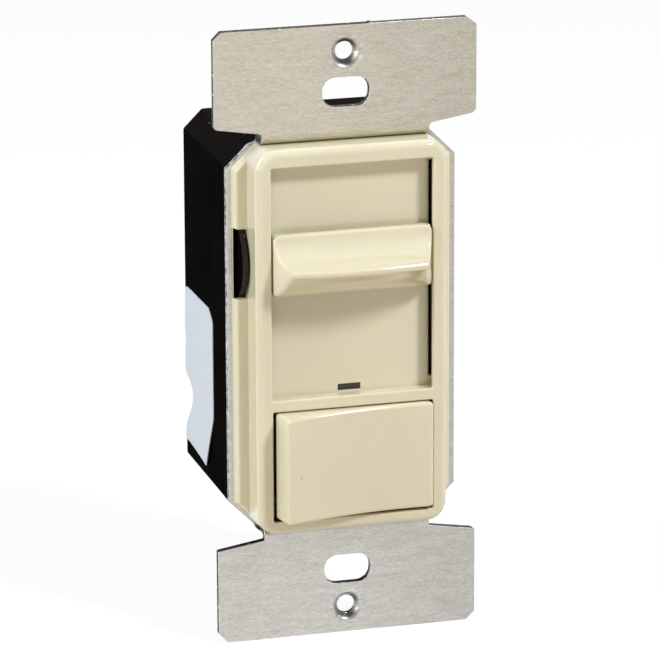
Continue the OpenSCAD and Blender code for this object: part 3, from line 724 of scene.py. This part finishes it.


# Face: the ivory moulding on the strap's front, with a low flange, a raised face with rounded edges,
# the slider's recess, the rocker's opening and a window for the trim wheel. Polished, with a few specks.
# Deep inside the openings its walls are painted a dull dark brown, as painted shade.
ivory = moulding(
    "ivory_gloss", (226, 218, 186), (224, 215, 182), 0.09, 0.13, (170, 152, 112), 0.002, 0.006,
    Specular_IOR_Level=0.5, Subsurface_Weight=0.3, Subsurface_Scale=0.001,
    Subsurface_Radius=(1.0, 0.62, 0.3), Coat_Weight=0.8, Coat_Roughness=0.06)
# Painted shade: a dull dark brown ivory for walls deep in the openings and the rocker's hidden flanks,
# which lie in shade.
ivory_painted_shade = moulding("ivory_painted_shade", (92, 70, 42), (72, 54, 32), 0.45, 0.65, (52, 40, 26), 0.02)
shade_finish = 1
face_front, flange_front, plate_front = -5.2, 0.5, 1.9
face_x, face_z, face_cut, corner_round = 16.55, 33.3, 2.0, 3.4
face_fillet, rim_round = 1.2, 0.28
relief_low, relief_high, relief_lean = 6.9, 18.9, 0.25
relief_deep, relief_faint = 0.03, 0.01
draft_slope, draft_front, draft_run = 0.03, -3.7, 4.2
square_corner, turned_corner = -1.6, -4.2


def face_corners(relief, draft=0.0):
    """The raised face's outline, its sides drawn out by draft and the thumb relief cut in."""
    x, z, cut = face_x + draft, face_z, face_cut
    left = relief - x
    return [(x - cut, -z), (x, cut - z), (x, z - cut), (x - cut, z), (cut - x, z), (-x, z - cut),
            (-x, relief_high + relief_lean), (left, relief_high), (left, relief_low),
            (-x, relief_low - relief_lean), (-x, cut - z), (cut - x, -z)]


face_radii = [2.4, 0.3, 0.3, 2.4, 2.4, 0.3] + [0] * 4 + [0.3, 2.4]
corner_points = 10
corner_starts = (0, 10, 20, 34)


def face_at(depth, level, relief=0.0):
    """The raised face at one level; its corners are cut straight, but round at its front."""
    draft = draft_slope * min(max(level - draft_front, 0), draft_run)
    points = eased(inset(face_corners(relief, draft), depth), face_radii)
    share = eased_in(level, square_corner, turned_corner)
    radius = corner_round - 0.4 * depth
    for corner, first in enumerate(corner_starts):
        side_x = 1 if corner < 2 else -1
        side_z = 1 if corner in (1, 2) else -1
        centre = Vector((side_x * (face_x + draft - depth - radius), side_z * (face_z - depth - radius)))
        for k in range(corner_points):
            turn = pi / 2 * (corner - 1 + k / (corner_points - 1))
            arc = centre + radius * Vector((cos(turn), sin(turn)))
            points[first + k] = points[first + k].lerp(arc, share)
    return points


bm = bmesh.new()
levels = [(face_at(0, plate_front), plate_front)]
for level in (0.6, -0.4, -1.2, -1.7, -2.1, -2.5, -2.9):
    levels.append((face_at(0, level, relief_deep), level))
for level in (-3.3, -3.7):
    levels.append((face_at(0, level, relief_faint), level))
for turn in quarter(6):
    depth = face_fillet * (1 - cos(turn))
    level = face_front + face_fillet * (1 - sin(turn))
    levels.append((face_at(depth, level), level))
levels.append((face_at(face_fillet + 0.08, face_front), face_front))
rings = [ring(bm, outline, level) for outline, level in levels]
skin(bm, rings)
recess_lip, opening_lip = -4.2, -4.5
recess = hole_at(-14, -9.7, 14, 30.3, 0.25)
under_lip = hole_at(-15.1, -9.75, 15.1, 30.35, 0.3)(0)
recess_rim = rolled_edge(bm, recess, face_front, recess_lip, rim_round)
well = [recess_rim[1], ring(bm, under_lip, recess_lip), ring(bm, under_lip, plate_front)]
skin(bm, well)
# Painted shade: the recess's side walls, seen through the slits, take the dark finish.
shade_in, shade_out, shade_end = 14.9 * mm, 15.2 * mm, 31 * mm
for side in bm.faces:
    if all(shade_in < abs(vert.co.x) < shade_out and abs(vert.co.z) < shade_end for vert in side.verts):
        side.material_index = shade_finish
rocker_opening = hole_at(-13.88, -31.0, 14, -11.7, 0.3)
opening_rim = rolled_edge(bm, rocker_opening, face_front, opening_lip, rim_round)
# Painted shade: the rocker opening's wall behind its rolled lip takes the dark finish.
opening_foot = ring(bm, rocker_opening(0), plate_front)
skin(bm, [opening_rim[1], opening_foot], shade_finish)
flat(bm, [rings[-1], recess_rim[0], opening_rim[0]])
flat(bm, [rings[0], well[-1], opening_foot])
floor_front, floor_back, floor_round = -2.6, -1.4, 0.12
slit_in, slit_out, slit_low, slit_high = 13.9, 15.6, -8.2, 29.4
floor_low, floor_high = -10.3, 30.9
lens_hole = hole_at(-1.96, -9.5, 1.96, -8.4, 0.1)


def mirrored(right):
    """A whole outline from its right half."""
    return right + [(-x, z) for x, z in reversed(right)]


floor_corners = mirrored([(slit_out, floor_low), (slit_out, slit_low), (slit_in, slit_low),
                          (slit_in, slit_high), (slit_out, slit_high), (slit_out, floor_high)])
floor_at = outlined(floor_corners, [0.05] * len(floor_corners), 2)
for rims in pierced(bm, [floor_at, lens_hole], floor_front, floor_back, floor_round):
    flat(bm, rims)
flange_base, flange_top, flange_round, flange_lap = 19.05, 18.55, 0.45, 0.85
window_in, window_low, window_high = -16.6, 6.85, 18.95
flange_corners = mirrored([(14.9, -33.28), (flange_base, -29.15), (flange_base, 29.15), (14.9, 33.28)])


def flange_at(depth):
    """The flange's outline, drawn in by depth, with the wheel's window cut into its left side."""
    corners = inset(flange_corners, depth)
    left = corners[5][0]
    window = [(left, window_high), (window_in, window_high), (window_in, window_low), (left, window_low)]
    return eased(corners[:6] + window + corners[6:], [0.5] * 6 + [0.12, 0.05, 0.05, 0.12] + [0.5] * 2)


rings = [ring(bm, flange_at(0), plate_front)]
lean = flange_base - flange_top
for turn in quarter(4):
    depth = lean - 0.05 + flange_round * (1 - cos(turn))
    rings.append(ring(bm, flange_at(depth), flange_front + flange_round * (1 - sin(turn))))
rings.append(ring(bm, flange_at(lean + flange_round + 0.05), flange_front))
skin(bm, rings)
foot = [corner for corner in face_corners(0) if abs(corner[1]) > face_z - face_cut - 0.1]
inner_rings = [ring(bm, inset(foot, flange_lap), level) for level in (flange_front, plate_front)]
skin(bm, inner_rings)
flat(bm, [rings[-1], inner_rings[0]])
flat(bm, [rings[0], inner_rings[1]])


def block(bm, low, high, ease):
    """A block between two corners with its edges eased."""
    verts = bmesh.ops.create_cube(bm, size=1)["verts"]
    for vert in verts:
        vert.co = [mm * (a + (b - a) * (c + 0.5)) for a, b, c in zip(low, high, vert.co)]
    around = list({edge for vert in verts for edge in vert.link_edges})
    bmesh.ops.bevel(bm, geom=around, offset=ease * mm, segments=2, profile=0.5, affect="EDGES")


def flat_faced(piece):
    """Keeps the shading of a piece's broad faces flat, and makes it a plain mesh."""
    weighted = piece.modifiers.new("flat_faces", "WEIGHTED_NORMAL")
    weighted.keep_sharp = True
    return plain(piece)


window_bar = (-18.95, 1.62, 6.7), (-18.78, 1.92, 19.1)
block(bm, *window_bar, 0.04)
face = flat_faced(made_piece(bm, "face", [ivory, ivory_painted_shade]))
fitted(face, "base", "ivory_plastic", "front_bezel")


# Indicator: a smoked lens pressed into the foot of the recess, lit from behind by a small amber lamp
# on the board. The lens is a light pipe with a polished front.
smoked = moulding("smoked_lens", (60, 48, 24), (42, 33, 14), 0.12, 0.22, (96, 84, 66), 0.03)
softened("lens", "indicator_lens", smoked, fine_ease, "smoked_lens")


# Slider knob: a hollow ivory moulding across the recess, with a finger scoop above a blunt nose and a
# shallow hollow below it. A leg at each end reaches through a side slit to the carriage behind.
knob_half, knob_top, knob_bottom, knob_foot = 13.7, 18.9, 8.3, -4.3
end_slope = 4.8 / 1.84
nose_bow, nose_half = 1.05, 11.6


def swept(y, z, radius, start, end, count):
    """Points round a centre, from one angle to another in degrees."""
    turns = [radians(start + (end - start) * k / (count - 1)) for k in range(count)]
    return [(y + radius * cos(a), z + radius * sin(a)) for a in turns]


def curved(a, b, c, d, t):
    """A point of the smooth curve from b to c, which comes from a and goes on to d."""
    bend = (2 * a - 5 * b + 4 * c - d) * t * t
    return 0.5 * (2 * b + (c - a) * t + bend + (3 * b - a - 3 * c + d) * t ** 3)


top_edge = swept(-4.9, knob_top - 0.5, 0.5, 90, 180, 7)
scoop = swept(-10.45, 18.75, 5.04, -7, -81, 30)
nose_edge = swept(-9.68, 13.26, 0.5, 101.25, 180, 8)
knob_profile = [(knob_foot, knob_top), *top_edge, *scoop, *nose_edge]
lower = [(-10.2, 12.95), (-10.05, 12.6), (-9.3, 11.98), (-8.2, 10.97), (-7.2, 9.9), (-6.2, 9.0),
         (-5.5, 8.5)]
for i in range(len(lower) - 1):
    near = [lower[min(max(i + k, 0), len(lower) - 1)] for k in (-1, 0, 1, 2)]
    for k in range(5):
        knob_profile.append([curved(*along, k / 5) for along in zip(*near)])
knob_profile += [(-5.4, 8.46), (-5.2, 8.36), (-4.95, 8.3), (knob_foot, knob_bottom)]


def soft_over(a, b, ease):
    """The greater of two values, blended where they are close."""
    close = max(ease - abs(a - b), 0) / ease
    return max(a, b) + close * close * ease / 4


def knob_point(x, y, z):
    """Bows the nose out at mid-length, and cuts the profile off at the knob's slanting ends."""
    bowed = y - nose_bow * eased_in(y, -7.2, -10.2) * max(0, 1 - (x / nose_half) ** 2)
    end = face_front - (knob_half - abs(x)) * end_slope
    cut = soft_over(bowed, end, 0.6 + 1.8 * eased_in(z, 13.4, 12.2))
    corner = 1.1 if z > 13 else 0.45
    over = max(z - (knob_top - corner), knob_bottom + corner - z, 0)
    narrow = 1 - (corner - sqrt(corner ** 2 - min(over, corner) ** 2)) / knob_half
    return Vector((x * narrow, min(cut, knob_foot), z)) * mm


steps = [knob_half * sin(turn) for turn in quarter(60)]
columns = [-x for x in reversed(steps[1:])] + steps
bm = bmesh.new()
grid = []
for x in columns:
    grid.append([bm.verts.new(knob_point(x, y, z)) for y, z in knob_profile])
wall = []
for end in (grid[0], grid[-1]):
    wall.append([bm.verts.new((vert.co.x, knob_foot * mm, vert.co.z)) for vert in end])
grid = [wall[0], *grid, wall[1]]
for a, b in zip(grid, grid[1:]):
    for i in range(len(a) - 1):
        bm.faces.new((a[i], a[i + 1], b[i + 1], b[i]))
bmesh.ops.remove_doubles(bm, verts=bm.verts, dist=1e-7)
bmesh.ops.holes_fill(bm, edges=[edge for edge in bm.edges if edge.is_boundary], sides=0)


def block_pair(bm, low, high, ease):
    """The same block on the right and on the left."""
    block(bm, low, high, ease)
    block(bm, (-high[0], *low[1:]), (-low[0], *high[1:]), ease)


block_pair(bm, (11.7, -4.7, 8.5), (13.68, -2.9, 18.8), 0.3)
block_pair(bm, (11.7, -3.9, 9.6), (14.85, -2.9, 17.6), 0.2)
block_pair(bm, (14.05, -3.9, 9.6), (14.85, 1.4, 17.6), 0.2)
fitted(made_piece(bm, "knob", [ivory], 50), "slider", "ivory_plastic", "slider_knob")


# Rocker: an ivory moulding in the lower opening, hollow across its front, on two pins that turn in the
# face. A fork on its back throws the slide switch. It rests with its left side out.
rocker_low, rocker_high, rocker_mid = -30.5, -11.9, -21.075
pivot_y, rocker_back, hollow_front = -3.4, -1.5, -5.2
rocker_left, rocker_width, rocker_front = -13.1, 26.55, -6.52
rocker_radius, rocker_ease, rocker_wall = 72, 0.65, 0.9
rest_turn = 7.5
front_columns = 28
rocker_plan = []
for k in range(front_columns + 1):
    x = rocker_left + rocker_width * k / front_columns
    rocker_plan.append((x, rocker_front - rocker_radius + sqrt(rocker_radius ** 2 - x * x)))
rocker_plan += [(13.5, pivot_y), (13.2, rocker_back), (-13.0, rocker_back), (-13.52, pivot_y)]
plan_radii = [0.4] + [0] * (front_columns - 1) + [0.4] + [0] * 4
rocker_at = outlined(rocker_plan, plan_radii, 5)
bm = bmesh.new()
rims = [rolled_edge(bm, rocker_at, level, rocker_mid, rocker_ease, facing=from_below, steps=5)
        for level in (rocker_low, rocker_high)]
capped(bm, [rims[0][0]], [rims[1][0]])
bmesh.ops.remove_doubles(bm, verts=bm.verts, dist=weld)
middle = [edge for edge in bm.edges
          if all(abs(vert.co.z - rocker_mid * mm) < 1e-7 for vert in edge.verts)]
bmesh.ops.dissolve_edges(bm, edges=middle, use_verts=True)
# Painted shade: the rocker's flanks behind its pivot, seen in the gaps, take the dark finish.
for skirt in bm.faces:
    if min(vert.co.y for vert in skirt.verts) > (pivot_y - 0.01) * mm:
        skirt.material_index = shade_finish
back = max(bm.faces, key=lambda face: face.calc_center_median().y * face.calc_area())
bmesh.ops.inset_region(bm, faces=[back], thickness=rocker_wall * mm)
for vert in back.verts:
    vert.co.y = hollow_front * mm
fork_low, fork_high = rocker_mid - 2.4, rocker_mid + 2.4
block(bm, (-2.5, -5.6, fork_low), (2.5, 1.6, fork_high), 0.2)
block_pair(bm, (1.15, 1.0, fork_low), (2.5, 4.4, fork_high), 0.2)


def pin(bm, low, high, radius=0.8, chamfer=0.15):
    """An upright round pin on the rocker's axis with its ends chamfered."""
    tip = radius - chamfer
    ends = [(tip, low), (radius, low + chamfer), (radius, high - chamfer), (tip, high)]
    rings = [ring(bm, disc(0, pivot_y, r, 24), level, from_below) for r, level in ends]
    skin(bm, rings)
    capped(bm, rings[:1], rings[-1:])


pin(bm, -32.2, rocker_low + 1)
pin(bm, rocker_high - 1, -10.5)
turn = Matrix.Rotation(radians(rest_turn), 4, "Z")
about = Matrix.Translation((0, pivot_y * mm, 0))
bmesh.ops.transform(bm, matrix=about @ turn @ about.inverted(), verts=bm.verts)
rocker = flat_faced(made_piece(bm, "rocker_cap", [ivory, ivory_painted_shade], 40))
fitted(rocker, "rocker_body", "ivory_plastic", "rocker")


# Trim wheel: a black thumbwheel on the trim control's shaft, moulded with a fine knurl round its rim.
# It shows through the window beside the face.
# Lit and shaded copies of one black plastic: the rim is a lighter brown as painted light, the sides
# near-black as painted shade.
wheel_rim_lit = moulding(
    "wheel_rim_lit", (56, 48, 36), (22, 18, 13), 0.3, 0.45, (150, 142, 128), 0.12,
    Specular_IOR_Level=0.25, Coat_Weight=0.03, Coat_Roughness=0.2)
wheel_side = moulding(
    "wheel_side", (9, 8, 7), (5, 4, 4), 0.34, 0.5, (130, 122, 108), 0.05, Specular_IOR_Level=0.0,
    Coat_Weight=0.01, Coat_Roughness=0.2)
drum_sides, rib_sides = 96, 8


def knurled_wheel():
    """A drum with round ribs across its rim and chamfered edges, about an axis along X."""
    tree, given, out = group_tree(
        "knurled_wheel", "GeometryNodeTree",
        [("Geometry", "Geometry", None), ("Centre", "Vector", (0, 0, 0)),
         ("Radius", "Float", 0.007), ("Width", "Float", 0.00175),
         ("Ribs", "Int", 100), ("Rib Radius", "Float", 0.00016),
         ("Chamfer", "Float", 0.0003), ("Rim Finish", "Material", None),
         ("Side Finish", "Material", None)],
        [("Geometry", "Geometry")])
    chamfer = given["Chamfer"]
    drum_radius = worked(tree, "SUBTRACT", given["Radius"], given["Rib Radius"])
    rim_width = worked(tree, "SUBTRACT", given["Width"], worked(tree, "MULTIPLY", chamfer, 2.0))
    side_radius = worked(tree, "SUBTRACT", drum_radius, chamfer)
    down = worked(tree, "MULTIPLY", chamfer, -1.0)
    drum = cone(tree, drum_sides, drum_radius, drum_radius, rim_width)
    inner = lifted(tree, cone(tree, drum_sides, side_radius, drum_radius, chamfer), down)
    outer = lifted(tree, cone(tree, drum_sides, drum_radius, side_radius, chamfer), rim_width)
    rib = cone(tree, rib_sides, given["Rib Radius"], given["Rib Radius"], rim_width)
    around = shape(tree, "MeshCircle", {"Vertices": given["Ribs"], "Radius": drum_radius})
    ribs = shape(tree, "InstanceOnPoints", {"Points": around, "Instance": rib})
    back = node(tree, "CombineXYZ", {"X": worked(tree, "MULTIPLY", rim_width, -0.5)})
    shift = node(tree, "VectorMath", {0: given["Centre"], 1: back}, operation="ADD")
    turned = shape(tree, "Transform", {"Geometry": joined(tree, drum, inner, outer, ribs),
                                       "Translation": shift, "Rotation": (0, pi / 2, 0)})
    real = shape(tree, "RealizeInstances", {"Geometry": turned})
    rim = shape(tree, "SetMaterial", {"Geometry": real, "Material": given["Rim Finish"]})
    # Painted shade: faces turned along the axis, the sides and their chamfers, take the darker side
    # finish.
    facing = node(tree, "SeparateXYZ", {0: shape(tree, "InputNormal")})
    side = worked(tree, "GREATER_THAN", worked(tree, "ABSOLUTE", facing.outputs["X"], 0.0), 0.6)
    done = shape(tree, "SetMaterial", {
        "Geometry": rim, "Selection": side, "Material": given["Side Finish"]})
    feed(tree, out, Geometry=done.outputs[0])
    return tree


thumbwheel = linked("thumbwheel", bpy.data.meshes.new("thumbwheel"))
wheel_middle = Vector((-17.46, 5.7, 12.9)) * mm
set_inputs(thumbwheel, knurled_wheel(), {
    "Centre": wheel_middle, "Width": 1.25 * mm, "Ribs": 110, "Rib Radius": 0.2 * mm,
    "Chamfer": 0.16 * mm, "Rim Finish": wheel_rim_lit, "Side Finish": wheel_side})
smoothed(thumbwheel.data, 50)
fitted(thumbwheel, "trim", "black_plastic", "trim_wheel")


# The works inside the housing: slide control, switch, trim control, lamp, board and its components. They
# are bought-in parts on a green board; their solids are shown as they are, each with its own finish.
case_steel = brushed_metal(
    "case_steel", (196, 196, 198), (158, 158, 162), 0.26, 0.42, (3000, 3000, 200), (120, 120, 124), 0.05)
bought_in = [
    ("grey_plastic", (118, 118, 120), (100, 100, 103), 0.4, 0.55, (60, 60, 60), 0.02,
     ("slider_carriage", "switch_case", "triac")),
    ("blue_plastic", (70, 104, 176), (54, 86, 150), 0.35, 0.5, (30, 40, 70), 0.02,
     ("trim_pot", "varistor", "diac")),
    ("red_plastic", (150, 44, 34), (128, 34, 26), 0.25, 0.4, (70, 20, 16), 0.02, ("filter_capacitor",)),
    ("yellow_plastic", (206, 170, 60), (188, 150, 44), 0.25, 0.4, (110, 84, 20), 0.02,
     ("timing_capacitor",)),
    ("track_laminate", (120, 84, 52), (102, 70, 42), 0.4, 0.6, (50, 36, 24), 0.05,
     ("slide_pot_track", "resistors")),
    ("board_laminate", (46, 110, 66), (36, 94, 54), 0.28, 0.42, (150, 130, 60), 0.08, ("circuit_board",)),
    ("lamp_amber", (226, 150, 60), (210, 130, 44), 0.15, 0.25, (250, 200, 120), 0.02,
     ("indicator_lamp",)),
    ("pad_rubber", (196, 198, 202), (180, 182, 186), 0.6, 0.8, (140, 140, 144), 0.05, ("thermal_pad",)),
    ("core_ceramic", (92, 92, 96), (78, 78, 82), 0.5, 0.7, (60, 60, 62), 0.1, ("choke_core",)),
    ("copper_enamel", (176, 92, 44), (150, 72, 32), 0.2, 0.34, (90, 40, 18), 0.04, ("choke_winding",))]


def shown_in(finish, *sources):
    """Gives solids that are shown as they are their finish."""
    for source in sources:
        for place in cad_node[source].material_slots:
            place.material = finish


for name, *look, sources in bought_in:
    shown_in(moulding(name, *look), *sources)
shown_in(case_steel, "slide_pot_case", "triac_rivet")
shown_in(ivory, "pot_lever", "switch_actuator")
shown_in(brass, "pot_wiper")
shown_in(wheel_side, "trim_shaft")


# Floor, light and camera: a pale floor that the strap's lower edge stands on, a small softbox high at the
# right front, a tall strip at the left, a dim one at the front, and a long lens set where the photograph
# was taken from.
floor_z = cad_box[0].z
mesh = bpy.data.meshes.new("floor")
reach = 3.0
corners = rectangle(-reach, -reach, reach, reach)
mesh.from_pydata([(x, y, floor_z) for x, y in corners], [], [(0, 1, 2, 3)])
floor = linked("floor", mesh)


def bare_tree(owner):
    """The emptied node tree of a material or of the world."""
    owner.use_nodes = True
    owner.node_tree.nodes.clear()
    return owner.node_tree


def seen_share(tree):
    """1 for the rays that show the background: from the camera, or mirrored or carried through glass."""
    path = node(tree, "LightPath").outputs
    seen = worked(tree, "MAXIMUM", path["Is Camera Ray"], path["Is Glossy Ray"])
    return worked(tree, "MAXIMUM", seen, path["Is Transmission Ray"])


pale = bpy.data.materials.new("pale_floor")
tree = bare_tree(pale)
bounce = node(tree, "BsdfDiffuse", {"Color": (0.68, 0.61, 0.52, 1)})
matt = node(tree, "BsdfDiffuse", {"Color": (0.2, 0.2, 0.2, 1)})
glow = node(tree, "Emission", {"Color": (0.87, 0.87, 0.87, 1)})
both = node(tree, "AddShader", {0: matt, 1: glow})
shown = node(tree, "MixShader", {0: seen_share(tree), 1: bounce, 2: both})
node(tree, "OutputMaterial", {"Surface": shown})
mesh.materials.append(pale)

world = bpy.data.worlds.new("studio")
bpy.context.scene.world = world
tree = bare_tree(world)
dim = node(tree, "Background", {"Color": (0.152, 0.118, 0.074, 1)})
white = node(tree, "Background", {"Color": (1, 1, 1, 1)})
mixed = node(tree, "MixShader", {0: seen_share(tree), 1: dim, 2: white})
node(tree, "OutputWorld", {"Surface": mixed})
lamp_distance = 0.9


def softbox(name, direction, wide, tall, power, colour):
    """A flat lamp that shines at the middle of the part."""
    lamp = bpy.data.lights.new(name, "AREA")
    lamp.shape = "RECTANGLE"
    lamp.size = wide
    lamp.size_y = tall
    lamp.energy = power
    lamp.color = colour
    place = Vector(direction).normalized() * lamp_distance
    facing = place.to_track_quat("Z", "Y").to_matrix().to_4x4()
    linked(name, lamp).matrix_world = Matrix.Translation(place) @ facing


softbox("key", (0.47, -0.54, 0.70), 0.16, 0.16, 6.2, (0.945, 1.01, 1.14))
softbox("left", (-0.87, -0.10, 0.44), 0.2, 0.9, 6.75, (0.925, 1.01, 1.13))
softbox("front", (-0.25, -0.95, 0.18), 0.6, 0.6, 0.5, (1.08, 1.0, 0.86))

photo_width, focal, sensor = 660, 4991.0, 36.0
camera_distance = 0.8383
lens_data = bpy.data.cameras.new("long_lens")
lens_data.sensor_width = sensor
lens_data.lens = sensor * focal / photo_width
lens_data.clip_end = 20
azimuth, elevation, roll = radians(-15.62), radians(16.23), radians(-0.24)
aim = Vector((-2.57, 0.0, 0.42)) * mm
out = Vector((sin(azimuth) * cos(elevation), -cos(azimuth) * cos(elevation),
              sin(elevation)))
upright = out.to_track_quat("Z", "Y").to_matrix().to_4x4() @ Matrix.Rotation(roll, 4, "Z")
camera = linked("camera", lens_data)
camera.matrix_world = Matrix.Translation(aim + out * camera_distance) @ upright
bpy.context.scene.camera = camera
bpy.context.scene.view_settings.view_transform = "Standard"
